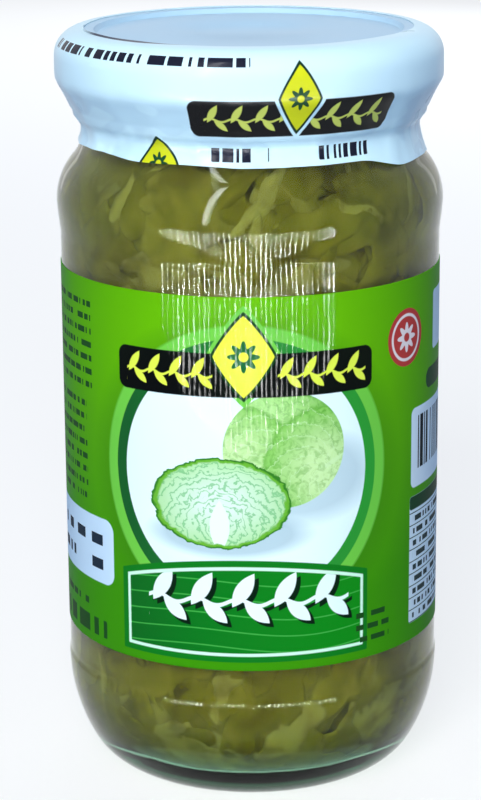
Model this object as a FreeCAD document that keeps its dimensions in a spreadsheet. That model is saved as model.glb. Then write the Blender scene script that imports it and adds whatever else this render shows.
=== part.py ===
"""A preserving jar of sauerkraut: clear glass jar, pressed metal lid, thin sealing film over
the lid and neck, paper wrap label, and the cabbage in brine that fills the glass.

Millimetres, +Z up. The origin is the middle of the ring the jar stands on. Every piece is turned
about Z, so each one is a body with one half-section sketch and one revolution.
"""

import FreeCAD, Part

import math
import os

import Sketcher

# alias, value in millimetres, what it sets
DRIVING_SIZES = [
    ("body_radius", 32.9, "glass at the label panel"),
    ("heel_height", 19.7, "top of the rounded heel"),
    ("panel_height", 76.1, "recessed panel that carries the label"),
    ("ledge_height", 0.8, "step from the heel to the panel"),
    ("ridge_step", 0.2, "heel ridge stands out of the panel"),
    ("base_inset", 12.3, "bearing ring lies inside the panel by this"),
    ("base_corner", 10.0, "round between base and heel"),
    ("bearing_width", 1.6, "flat of the bearing ring"),
    ("base_dish", 1.6, "hollow under the base"),
    ("crest_rise", 5.3, "panel to the widest line of the shoulder"),
    ("crest_step", 0.55, "shoulder stands out of the panel"),
    ("shoulder_round", 11.5, "convex round of the shoulder"),
    ("shoulder_drop", 12.3, "widest line of the shoulder to the neck"),
    ("neck_inset", 4.1, "neck lies inside the panel by this"),
    ("neck_length", 1.8, "straight part of the neck"),
    ("bead_step", 1.4, "transfer bead stands out of the neck"),
    ("bead_slope", 1.6, "height of the slope under the bead"),
    ("bead_length", 2.4, "straight side of the bead"),
    ("finish_step", 0.8, "mouth stands out of the neck"),
    ("finish_height", 10.9, "mouth above the bead"),
    ("rim_round", 1.0, "rounds of the rim"),
    ("wall", 2.3, "glass at the panel"),
    ("neck_wall", 2.0, "glass at the neck"),
    ("floor_thickness", 5.4, "glass under the contents"),
    ("floor_rise", 0.8, "inside floor is higher in its middle"),
    ("floor_inset", 14.4, "flat of the inside floor ends inside the panel by this"),
    ("floor_corner", 9.0, "round between inside floor and wall"),
    ("inner_neck_round", 12.0, "concave round below the bore"),
    ("lid_sheet", 0.3, "sheet metal of the lid"),
    ("lid_clearance", 3.5, "mouth to the outside of the lid"),
    ("lid_height", 9.6, "lid from its curl to its top"),
    ("lid_seat_margin", 0.1, "lid stays flat this far past the rim's flat"),
    ("lid_curl", 0.9, "round of the rolled lower edge"),
    ("lid_panel_clearance", 0.1, "sunken panel to the bore"),
    ("lid_panel_drop", 0.6, "panel is sunk by this"),
    ("lid_panel_slope", 0.4, "width of the slope around the panel"),
    ("film", 0.12, "sealing film"),
    ("film_overlap", 1.0, "film reaches over the flat ring of the lid"),
    ("film_hem_drop", 3.0, "film reaches below the neck"),
    ("film_clearance", 0.08, "film hem to the shoulder"),
    ("label_paper", 0.12, "paper of the label"),
    ("label_foot", 6.2, "label above the bottom of the panel"),
    ("label_head", 5.2, "label below the top of the panel"),
    ("head_space", 9.8, "contents end below the rim"),
]

# Heights and radii that several pieces share, as expressions on the sheet.
PANEL_FOOT = "(sizes.heel_height + sizes.ledge_height)"
PANEL_TOP = "(" + PANEL_FOOT + " + sizes.panel_height)"
CREST_Z = "(" + PANEL_TOP + " + sizes.crest_rise)"
NECK_Z = "(" + CREST_Z + " + sizes.shoulder_drop)"
NECK_TOP = "(" + NECK_Z + " + sizes.neck_length)"
BEAD_FOOT = "(" + NECK_TOP + " + sizes.bead_slope)"
BEAD_TOP = "(" + BEAD_FOOT + " + sizes.bead_length)"
RIM_Z = "(" + BEAD_TOP + " + sizes.finish_height)"
LID_TOP = "(" + RIM_Z + " + sizes.lid_sheet)"
LID_FOOT = "(" + LID_TOP + " - sizes.lid_height)"

BASE_R = "(sizes.body_radius - sizes.base_inset)"
RIDGE_R = "(sizes.body_radius + sizes.ridge_step)"
CREST_R = "(sizes.body_radius + sizes.crest_step)"
NECK_R = "(sizes.body_radius - sizes.neck_inset)"
BEAD_R = "(" + NECK_R + " + sizes.bead_step)"
FINISH_R = "(" + NECK_R + " + sizes.finish_step)"
BORE_R = "(" + NECK_R + " - sizes.neck_wall)"
INNER_R = "(sizes.body_radius - sizes.wall)"
FLOOR_R = "(sizes.body_radius - sizes.floor_inset)"
LID_R = "(" + FINISH_R + " + sizes.lid_clearance)"
LID_FLAT_R = "(" + FINISH_R + " - sizes.rim_round + sizes.lid_seat_margin)"
LID_CORNER = "(" + LID_R + " - " + LID_FLAT_R + ")"
LID_PANEL_R = "(" + BORE_R + " - sizes.lid_panel_clearance)"
LABEL_FOOT = "(" + PANEL_FOOT + " + sizes.label_foot)"
LABEL_TOP = "(" + PANEL_TOP + " - sizes.label_head)"

# The concave round below the neck, tangent to the shoulder's convex round and to the neck.
SHOULDER_REACH = "(" + NECK_R + " - " + CREST_R + " + sizes.shoulder_round)"
NECK_HOLLOW = (
    "((" + SHOULDER_REACH + "^2 + sizes.shoulder_drop^2 - sizes.shoulder_round^2)"
    " / (2 * (sizes.shoulder_round - " + SHOULDER_REACH + ")))"
)

LEFT, RIGHT = 1, -1
UP, DOWN = (0, 1), (0, -1)
OUTWARD, INWARD = (1, 0), (-1, 0)


def make_sheet(doc):
    """The driving sizes, one row each: value in A with its alias, meaning in B."""
    sheet = doc.addObject("Spreadsheet::Sheet", "sizes")
    for row, (alias, value, meaning) in enumerate(DRIVING_SIZES, start=1):
        sheet.set("A%d" % row, str(value))
        sheet.setAlias("A%d" % row, alias)
        sheet.set("B%d" % row, meaning)
    doc.recompute()
    return sheet


def origin_plane(body, role):
    """One of the body's own origin planes."""
    return next(item for item in body.Origin.OriginFeatures if item.Role == role)


def joined_arcs(given_end, given_normal, radius, free_end, free_normal, same_turn):
    """Two tangent arcs between two ends. One radius is given; returns both centres and the joint."""
    centre = given_end + given_normal * radius
    reach = free_end - centre
    signed = -radius if same_turn else radius
    free_radius = (radius ** 2 - reach.dot(reach)) / (2 * (reach.dot(free_normal) - signed))
    free_centre = free_end + free_normal * free_radius
    towards = (free_centre - centre).normalize()
    joint = centre - towards * radius if same_turn else centre + towards * radius
    return centre, free_centre, joint


class Outline:
    """A closed half-section, drawn edge after edge and pinned to the sheet's expressions."""

    def __init__(self, body, name, start):
        self.sketch = body.newObject("Sketcher::SketchObject", name)
        self.sketch.AttachmentSupport = [(origin_plane(body, "XZ_Plane"), "")]
        self.sketch.MapMode = "FlatFace"
        self.start = start
        self.here = self.point(start)
        self.first = None
        self.last = None

    def value(self, expression):
        return float(self.sketch.evalExpression(expression))

    def point(self, place):
        return FreeCAD.Vector(self.value(place[0]), self.value(place[1]), 0)

    def bind(self, kind, *references, expression):
        value = self.value(expression)
        index = self.sketch.addConstraint(Sketcher.Constraint(kind, *references, value))
        self.sketch.setExpression("Constraints[%d]" % index, expression)

    def relate(self, kind, *references):
        self.sketch.addConstraint(Sketcher.Constraint(kind, *references))

    def pin(self, vertex, place):
        """Hold a vertex at its radius and height; a zero puts it on the axis or the ground."""
        for expression, kind, axis in ((place[0], "DistanceX", -2), (place[1], "DistanceY", -1)):
            if expression == "0":
                self.relate("PointOnObject", *vertex, axis)
            else:
                self.bind(kind, -1, 1, *vertex, expression=expression)

    def join(self, start_vertex, end_vertex, joint="Coincident"):
        """Hang an edge on the one before it."""
        if self.last is None:
            self.first = start_vertex
            self.pin(start_vertex, self.start)
        else:
            self.relate(joint, *self.last, *start_vertex)
        self.last = end_vertex

    def add_arc(self, centre, end, turn):
        """Add an arc's curve; returns its index and its first and last vertex along the outline."""
        sweep = [math.atan2(p.y - centre.y, p.x - centre.x) for p in (self.here, end)]
        first, last = (1, 2) if turn == LEFT else (2, 1)
        if turn == RIGHT:
            sweep.reverse()
        radius = (self.here - centre).Length
        circle = Part.Circle(centre, FreeCAD.Vector(0, 0, 1), radius)
        index = self.sketch.addGeometry(Part.ArcOfCircle(circle, *sweep), False)
        self.here = end
        return index, (index, first), (index, last)

    def line_to(self, radius, height):
        end = self.point((radius, height))
        index = self.sketch.addGeometry(Part.LineSegment(self.here, end), False)
        self.join((index, 1), (index, 2))
        self.pin((index, 2), (radius, height))
        self.here = end

    def arc_to(self, radius, height, arc_radius, turn):
        """A minor arc of a given radius that turns left or right on its way."""
        end = self.point((radius, height))
        size = self.value(arc_radius)
        chord = end - self.here
        across = FreeCAD.Vector(-chord.y, chord.x, 0).normalize() * turn
        reach = math.sqrt(max(size ** 2 - (chord.Length / 2) ** 2, 0))
        centre = (self.here + end) * 0.5 + across * reach
        index, first, last = self.add_arc(centre, end, turn)
        self.join(first, last)
        self.pin(last, (radius, height))
        self.bind("Radius", index, expression=arc_radius)

    def two_arcs_to(self, radius, height, arc_radius, given, normals, turns):
        """Two arcs, tangent where they meet. Each centre lies along its own end's normal.
        given says whose radius is arc_radius: 0 for the first arc, 1 for the second."""
        ends = [self.here, self.point((radius, height))]
        ways = [FreeCAD.Vector(x, y, 0) for x, y in normals]
        size = self.value(arc_radius)
        other = 1 - given
        same_turn = turns[0] == turns[1]
        found = joined_arcs(ends[given], ways[given], size, ends[other], ways[other], same_turn)
        centres = found[:2] if given == 0 else (found[1], found[0])
        one, one_first, one_last = self.add_arc(centres[0], found[2], turns[0])
        self.join(one_first, one_last)
        two, two_first, two_last = self.add_arc(centres[1], ends[1], turns[1])
        self.join(two_first, two_last, joint="Tangent")
        self.pin(two_last, (radius, height))
        self.bind("Radius", (one, two)[given], expression=arc_radius)
        for index, vertex, normal in ((one, one_first, normals[0]), (two, two_last, normals[1])):
            self.relate("Vertical" if normal[0] == 0 else "Horizontal", index, 3, *vertex)

    def close(self):
        """A straight edge back to the start."""
        index = self.sketch.addGeometry(Part.LineSegment(self.here, self.point(self.start)), False)
        self.relate("Coincident", *self.last, index, 1)
        self.relate("Coincident", index, 2, *self.first)
        return self.sketch


def turn_round(body, outline, name):
    """Close the half-section and turn it once round the body's Z axis."""
    revolution = body.newObject("PartDesign::Revolution", name)
    revolution.Profile = outline.close()
    revolution.ReferenceAxis = (outline.sketch, ["V_Axis"])
    revolution.Angle = 360
    outline.sketch.Visibility = False
    body.Tip = revolution
    return body


def new_body(doc, node):
    body = doc.addObject("PartDesign::Body", node)
    body.Label = node
    return body


def draw_inside(outline):
    """The glass's inner face, from the bore down to the middle of the floor."""
    floor = "(sizes.floor_thickness + sizes.floor_rise)"
    bow = "((" + FLOOR_R + "^2 + sizes.floor_rise^2) / (2 * sizes.floor_rise))"
    outline.line_to(BORE_R, NECK_Z)
    outline.two_arcs_to(INNER_R, CREST_Z, "sizes.inner_neck_round", 0, (OUTWARD, INWARD), (LEFT, RIGHT))
    outline.line_to(INNER_R, "sizes.heel_height")
    outline.two_arcs_to(
        FLOOR_R, "sizes.floor_thickness", "sizes.floor_corner", 1, (INWARD, UP), (RIGHT, RIGHT)
    )
    outline.arc_to("0", floor, bow, LEFT)


def make_glass_jar(doc):
    """Dished base, round heel, recessed panel, shoulder, neck, bead, mouth, and the inside."""
    body = new_body(doc, "glass_jar")
    dish = "((" + BASE_R + " - sizes.bearing_width)^2 + sizes.base_dish^2) / (2 * sizes.base_dish)"
    outline = Outline(body, "jar_section", ("0", "sizes.base_dish"))
    outline.arc_to(BASE_R + " - sizes.bearing_width", "0", dish, RIGHT)
    outline.line_to(BASE_R, "0")
    outline.two_arcs_to(RIDGE_R, "sizes.heel_height", "sizes.base_corner", 0, (UP, INWARD), (LEFT, LEFT))
    outline.line_to("sizes.body_radius", PANEL_FOOT)
    outline.line_to("sizes.body_radius", PANEL_TOP)
    outline.line_to(CREST_R, CREST_Z)
    outline.two_arcs_to(NECK_R, NECK_Z, "sizes.shoulder_round", 0, (INWARD, OUTWARD), (LEFT, RIGHT))
    outline.line_to(NECK_R, NECK_TOP)
    outline.line_to(BEAD_R, BEAD_FOOT)
    outline.line_to(BEAD_R, BEAD_TOP)
    outline.line_to(FINISH_R, BEAD_TOP + " + sizes.bead_step - sizes.finish_step")
    outline.line_to(FINISH_R, RIM_Z + " - sizes.rim_round")
    outline.arc_to(FINISH_R + " - sizes.rim_round", RIM_Z, "sizes.rim_round", LEFT)
    outline.line_to(BORE_R + " + sizes.rim_round", RIM_Z)
    outline.arc_to(BORE_R, RIM_Z + " - sizes.rim_round", "sizes.rim_round", LEFT)
    draw_inside(outline)
    return turn_round(body, outline, "jar_turned")


def make_contents(doc):
    """Cabbage and brine: all of the inside up to the head space."""
    body = new_body(doc, "sauerkraut")
    level = RIM_Z + " - sizes.head_space"
    outline = Outline(body, "contents_section", ("0", level))
    outline.line_to(BORE_R, level)
    draw_inside(outline)
    return turn_round(body, outline, "contents_turned")


def make_lid(doc):
    """Pressed sheet: sunken panel, flat ring that sits on the rim, round edge, rolled lower edge."""
    body = new_body(doc, "lid")
    panel_top = LID_TOP + " - sizes.lid_panel_drop"
    panel_foot = panel_top + " - sizes.lid_sheet"
    slope_foot = LID_PANEL_R + " - sizes.lid_panel_slope"
    skirt_top = LID_TOP + " - " + LID_CORNER
    inside_r = LID_R + " - sizes.lid_sheet"
    curl_z = LID_FOOT + " + sizes.lid_curl"
    curl_in_r = LID_R + " - 2 * sizes.lid_curl"
    outline = Outline(body, "lid_section", ("0", panel_foot))
    outline.line_to(slope_foot, panel_foot)
    outline.line_to(LID_PANEL_R, RIM_Z)
    outline.line_to(LID_FLAT_R, RIM_Z)
    outline.arc_to(inside_r, skirt_top, LID_CORNER + " - sizes.lid_sheet", RIGHT)
    outline.line_to(inside_r, curl_z + " + sizes.lid_curl")
    outline.line_to(curl_in_r, curl_z)
    outline.arc_to(LID_R + " - sizes.lid_curl", LID_FOOT, "sizes.lid_curl", LEFT)
    outline.arc_to(LID_R, curl_z, "sizes.lid_curl", LEFT)
    outline.line_to(LID_R, skirt_top)
    outline.arc_to(LID_FLAT_R, LID_TOP, LID_CORNER, LEFT)
    outline.line_to(LID_PANEL_R, LID_TOP)
    outline.line_to(slope_foot, panel_top)
    outline.line_to("0", panel_top)
    return turn_round(body, outline, "lid_turned")


def make_seal_film(doc):
    """Thin film over the lid's edge, round the bead, into the neck and out over the shoulder."""
    body = new_body(doc, "seal_film")
    edge_r = LID_FLAT_R + " - sizes.film_overlap"
    skirt_top = LID_TOP + " - " + LID_CORNER
    hem_z = NECK_Z + " - sizes.film_hem_drop"
    hollow_in = "sqrt(" + NECK_HOLLOW + "^2 - sizes.film_hem_drop^2)"
    hem_r = NECK_R + " + " + NECK_HOLLOW + " - " + hollow_in + " + sizes.film_clearance"
    side = [
        (LID_R, LID_FOOT), (BEAD_R, BEAD_TOP), (BEAD_R, BEAD_FOOT), (NECK_R, NECK_TOP), (NECK_R, NECK_Z)
    ]
    outline = Outline(body, "film_section", (edge_r, LID_TOP))
    outline.line_to(LID_FLAT_R, LID_TOP)
    outline.arc_to(LID_R, skirt_top, LID_CORNER, RIGHT)
    for radius, height in side:
        outline.line_to(radius, height)
    outline.line_to(hem_r, hem_z)
    outline.line_to(hem_r + " + sizes.film", hem_z)
    for radius, height in reversed(side):
        outline.line_to(radius + " + sizes.film", height)
    outline.line_to(LID_R + " + sizes.film", skirt_top)
    outline.arc_to(LID_FLAT_R, LID_TOP + " + sizes.film", LID_CORNER + " + sizes.film", LEFT)
    outline.line_to(edge_r, LID_TOP + " + sizes.film")
    return turn_round(body, outline, "film_turned")


def make_label(doc):
    """Paper ring on the recessed panel."""
    body = new_body(doc, "label")
    face_r = "sizes.body_radius + sizes.label_paper"
    outline = Outline(body, "label_section", ("sizes.body_radius", LABEL_FOOT))
    outline.line_to(face_r, LABEL_FOOT)
    outline.line_to(face_r, LABEL_TOP)
    outline.line_to("sizes.body_radius", LABEL_TOP)
    return turn_round(body, outline, "label_turned")


def check_document(doc, pieces):
    """Stop before anything is written if a step failed or a piece isn't one valid solid."""
    for item in doc.Objects:
        if {"Invalid", "Error"} & set(item.State):
            raise RuntimeError("%s: %s" % (item.Name, ", ".join(item.State)))
    for piece in pieces:
        if piece.Shape.isNull() or not piece.Shape.isValid() or len(piece.Shape.Solids) != 1:
            raise RuntimeError("%s has no single valid solid" % piece.Label)


def write_pieces(pieces):
    os.makedirs("parts", exist_ok=True)
    for piece in pieces:
        box = piece.Shape.optimalBoundingBox()
        size = (piece.Shape.Volume / 1000, box.XLength, box.ZMin, box.ZMax)
        print("%-12s %8.3f cm3, %6.2f mm across, from %6.2f to %6.2f" % ((piece.Label,) + size))
        piece.Shape.exportStep("parts/%s.step" % piece.Label)


def main():
    doc = FreeCAD.newDocument("sauerkraut_jar")
    make_sheet(doc)
    makers = (make_glass_jar, make_contents, make_lid, make_seal_film, make_label)
    pieces = [maker(doc) for maker in makers]
    doc.recompute()
    check_document(doc, pieces)
    write_pieces(pieces)


main()
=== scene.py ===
import math
import random

import bpy
from mathutils import Matrix, Vector, noise


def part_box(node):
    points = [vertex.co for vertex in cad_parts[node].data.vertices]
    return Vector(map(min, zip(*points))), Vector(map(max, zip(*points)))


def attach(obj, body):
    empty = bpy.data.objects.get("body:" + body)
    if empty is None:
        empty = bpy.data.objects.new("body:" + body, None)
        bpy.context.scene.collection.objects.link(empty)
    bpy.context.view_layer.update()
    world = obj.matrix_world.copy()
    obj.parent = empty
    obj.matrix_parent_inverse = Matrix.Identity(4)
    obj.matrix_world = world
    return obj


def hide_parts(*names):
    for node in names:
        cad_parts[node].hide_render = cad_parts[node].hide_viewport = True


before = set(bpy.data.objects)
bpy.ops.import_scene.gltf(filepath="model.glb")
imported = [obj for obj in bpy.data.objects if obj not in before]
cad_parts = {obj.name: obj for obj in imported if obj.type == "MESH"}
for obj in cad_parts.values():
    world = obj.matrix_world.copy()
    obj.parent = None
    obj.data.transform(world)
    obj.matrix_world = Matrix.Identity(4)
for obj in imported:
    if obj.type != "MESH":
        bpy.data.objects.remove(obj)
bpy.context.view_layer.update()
mm = 0.001
fullTurn = 2 * math.pi

# sizes that every piece shares, read from the frame
jarLow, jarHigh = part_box("glass_jar")
fillLow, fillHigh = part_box("sauerkraut")
labelLow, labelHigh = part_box("label")
lidLow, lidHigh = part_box("lid")
filmLow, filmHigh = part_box("seal_film")


# camera

camera = {
    "place": (0.0, -0.445, 0.1872),
    "lookDown": 15.34,  # degrees below the horizon
    "lookLeft": 0.2414,
    "roll": 0.41,
    "lens": 117.2,
}


def setCamera():
    data = bpy.data.cameras.new("camera")
    data.sensor_fit = "VERTICAL"
    data.sensor_height = 36
    data.lens = camera["lens"]
    data.clip_start = 0.01
    data.clip_end = 20
    eye = bpy.data.objects.new("camera", data)
    bpy.context.scene.collection.objects.link(eye)
    tilt = Matrix.Rotation(math.radians(90 - camera["lookDown"]), 4, "X")
    yaw = Matrix.Rotation(math.radians(camera["lookLeft"]), 4, "Z")
    roll = Matrix.Rotation(math.radians(-camera["roll"]), 4, "Z")
    eye.matrix_world = Matrix.Translation(camera["place"]) @ yaw @ tilt @ roll
    bpy.context.scene.camera = eye


# making shapes


def only(piece):
    bpy.ops.object.select_all(action="DESELECT")
    piece.select_set(True)
    bpy.context.view_layer.objects.active = piece


def spread(start, end, count):
    return [start + (end - start) * i / (count - 1) for i in range(count)]


def ease(low, high, value):
    # 0 at low, 1 at high, smooth between
    share = min(max((value - low) / (high - low), 0.0), 1.0)
    return share * share * (3 - 2 * share)


def arcPoints(centreR, centreZ, radius, start, end, count):
    return [
        (centreR + radius * math.cos(a), centreZ + radius * math.sin(a))
        for a in spread(start, end, count)
    ]


def heelPoints(baseR, baseZ, wallR, wallZ, corner, count):
    # small round off the base, then a large one that meets the wall upright
    width = wallR - baseR
    rise = wallZ - baseZ - corner
    large = (width**2 + rise**2 - corner**2) / (2 * (width - corner))
    turn = math.atan2(-rise, large - width)
    lower = arcPoints(baseR, baseZ + corner, corner, -math.pi / 2, turn, count)
    upper = arcPoints(wallR - large, wallZ, large, turn, 0, count)
    return lower + upper[1:]


def shoulderPoints(wideR, wideZ, neckR, neckZ, radius, count):
    # round in from the widest line, then a hollow that meets the neck upright
    reach = neckR - wideR + radius
    rise = neckZ - wideZ
    hollow = (reach**2 + rise**2 - radius**2) / (2 * (radius - reach))
    turn = math.atan2(rise, reach + hollow)
    lower = arcPoints(wideR - radius, wideZ, radius, 0, turn, count)
    upper = arcPoints(neckR + hollow, neckZ, hollow, math.pi + turn, math.pi, count)
    return lower + upper[1:]


def turnSection(name, section, steps):
    # one vertex is drawn out along the half-section, and the line is spun about the jar's axis
    bpy.ops.object.select_all(action="DESELECT")
    bpy.ops.mesh.primitive_plane_add(size=mm, location=(0, 0, 0))
    piece = bpy.context.object
    piece.name = name
    piece.data.name = name
    bpy.ops.object.mode_set(mode="EDIT")
    bpy.ops.mesh.select_all(action="SELECT")
    bpy.ops.mesh.merge(type="CENTER")
    bpy.ops.transform.translate(value=(section[0][0], 0, section[0][1]))
    for (r0, z0), (r1, z1) in zip(section, section[1:]):
        bpy.ops.mesh.extrude_region_move(TRANSFORM_OT_translate={"value": (r1 - r0, 0, z1 - z0)})
    bpy.ops.mesh.select_all(action="SELECT")
    bpy.ops.mesh.spin(steps=steps, angle=fullTurn, center=(0, 0, 0), axis=(0, 0, 1))
    bpy.ops.mesh.select_all(action="SELECT")
    bpy.ops.mesh.remove_doubles(threshold=0.002 * mm)
    bpy.ops.mesh.normals_make_consistent(inside=False)
    bpy.ops.object.mode_set(mode="OBJECT")
    bpy.ops.object.shade_smooth_by_angle(angle=math.radians(38))
    return piece


def finishPiece(piece, node, material):
    piece.data.materials.clear()
    piece.data.materials.append(material)
    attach(piece, "root")
    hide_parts(node)


# making materials


class Finish:
    # a material's node tree, with short calls for the nodes that the finishes share
    def __init__(self, name):
        self.material = bpy.data.materials.new(name)
        self.material.use_nodes = True
        self.tree = self.material.node_tree
        self.surface = self.tree.nodes["Principled BSDF"]
        self.output = self.tree.nodes["Material Output"]
        self.place = None

    def add(self, kind, **settings):
        node = self.tree.nodes.new(kind)
        for key, value in settings.items():
            setattr(node, key, value)
        return node

    def link(self, source, socket):
        if isinstance(source, bpy.types.NodeSocket):
            self.tree.links.new(source, socket)
        else:
            socket.default_value = source

    def calc(self, operation, *values, clamp=False):
        node = self.add("ShaderNodeMath", operation=operation, use_clamp=clamp)
        for value, socket in zip(values, node.inputs):
            self.link(value, socket)
        return node.outputs[0]

    def vector(self, x, y, z=0.0):
        node = self.add("ShaderNodeCombineXYZ")
        for value, socket in zip((x, y, z), node.inputs):
            self.link(value, socket)
        return node.outputs[0]

    def length(self, x, y, z=0.0):
        node = self.add("ShaderNodeVectorMath", operation="LENGTH")
        self.link(self.vector(x, y, z), node.inputs[0])
        return node.outputs["Value"]

    def objectPlace(self):
        if self.place is None:
            self.place = self.add("ShaderNodeTexCoord").outputs["Object"]
        return self.place

    def split(self, vector):
        node = self.add("ShaderNodeSeparateXYZ")
        self.link(vector, node.inputs[0])
        return node.outputs

    def blend(self, share, under, over, mode="MIX"):
        node = self.add("ShaderNodeMix", data_type="RGBA", blend_type=mode)
        self.link(share, node.inputs[0])
        self.link(under, node.inputs[6])
        self.link(over, node.inputs[7])
        return node.outputs[2]

    def noise(self, vector, scale, detail=3.0, rough=0.5, twist=0.0):
        node = self.add("ShaderNodeTexNoise")
        self.link(vector, node.inputs["Vector"])
        node.inputs["Scale"].default_value = scale
        node.inputs["Detail"].default_value = detail
        node.inputs["Roughness"].default_value = rough
        node.inputs["Distortion"].default_value = twist
        return node.outputs[0]

    def bands(self, vector, scale, twist, detail=2.0, direction="X"):
        node = self.add("ShaderNodeTexWave", bands_direction=direction)
        self.link(vector, node.inputs["Vector"])
        node.inputs["Scale"].default_value = scale
        node.inputs["Distortion"].default_value = twist
        node.inputs["Detail"].default_value = detail
        return node.outputs["Fac"]

    def chance(self, x, y):
        node = self.add("ShaderNodeTexWhiteNoise", noise_dimensions="2D")
        self.link(self.vector(x, y), node.inputs["Vector"])
        return node.outputs["Value"]

    def remap(self, value, low, high, toLow=0.0, toHigh=1.0):
        node = self.add("ShaderNodeMapRange", clamp=True)
        for item, socket in zip((value, low, high, toLow, toHigh), node.inputs):
            self.link(item, socket)
        return node.outputs[0]

    def stretched(self, vector, x, y, z):
        node = self.add("ShaderNodeMapping")
        self.link(vector, node.inputs["Vector"])
        node.inputs["Scale"].default_value = (x, y, z)
        return node.outputs[0]

    def bump(self, height, strength, distance, under=None):
        node = self.add("ShaderNodeBump")
        node.inputs["Strength"].default_value = strength
        node.inputs["Distance"].default_value = distance
        self.link(height, node.inputs["Height"])
        if under is not None:
            self.link(under, node.inputs["Normal"])
        return node.outputs[0]

    def dress(self, **values):
        # numbers and colours go straight on the shader's own sockets
        for key, value in values.items():
            self.link(value, self.surface.inputs[key.replace("_", " ")])

    def letLampsThrough(self, tint):
        # lamps reach what the glass holds
        path = self.add("ShaderNodeLightPath")
        clear = self.add("ShaderNodeBsdfTransparent")
        clear.inputs["Color"].default_value = tint
        mix = self.add("ShaderNodeMixShader")
        self.link(path.outputs["Is Shadow Ray"], mix.inputs[0])
        self.link(self.surface.outputs[0], mix.inputs[1])
        self.link(clear.outputs[0], mix.inputs[2])
        self.link(mix.outputs[0], self.output.inputs["Surface"])


def srgb(red, green, blue):
    # a colour given 0 to 255, as the linear colour a shader wants
    def linear(value):
        share = value / 255
        return share / 12.92 if share <= 0.04045 else ((share + 0.055) / 1.055) ** 2.4

    return (linear(red), linear(green), linear(blue), 1.0)


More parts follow.
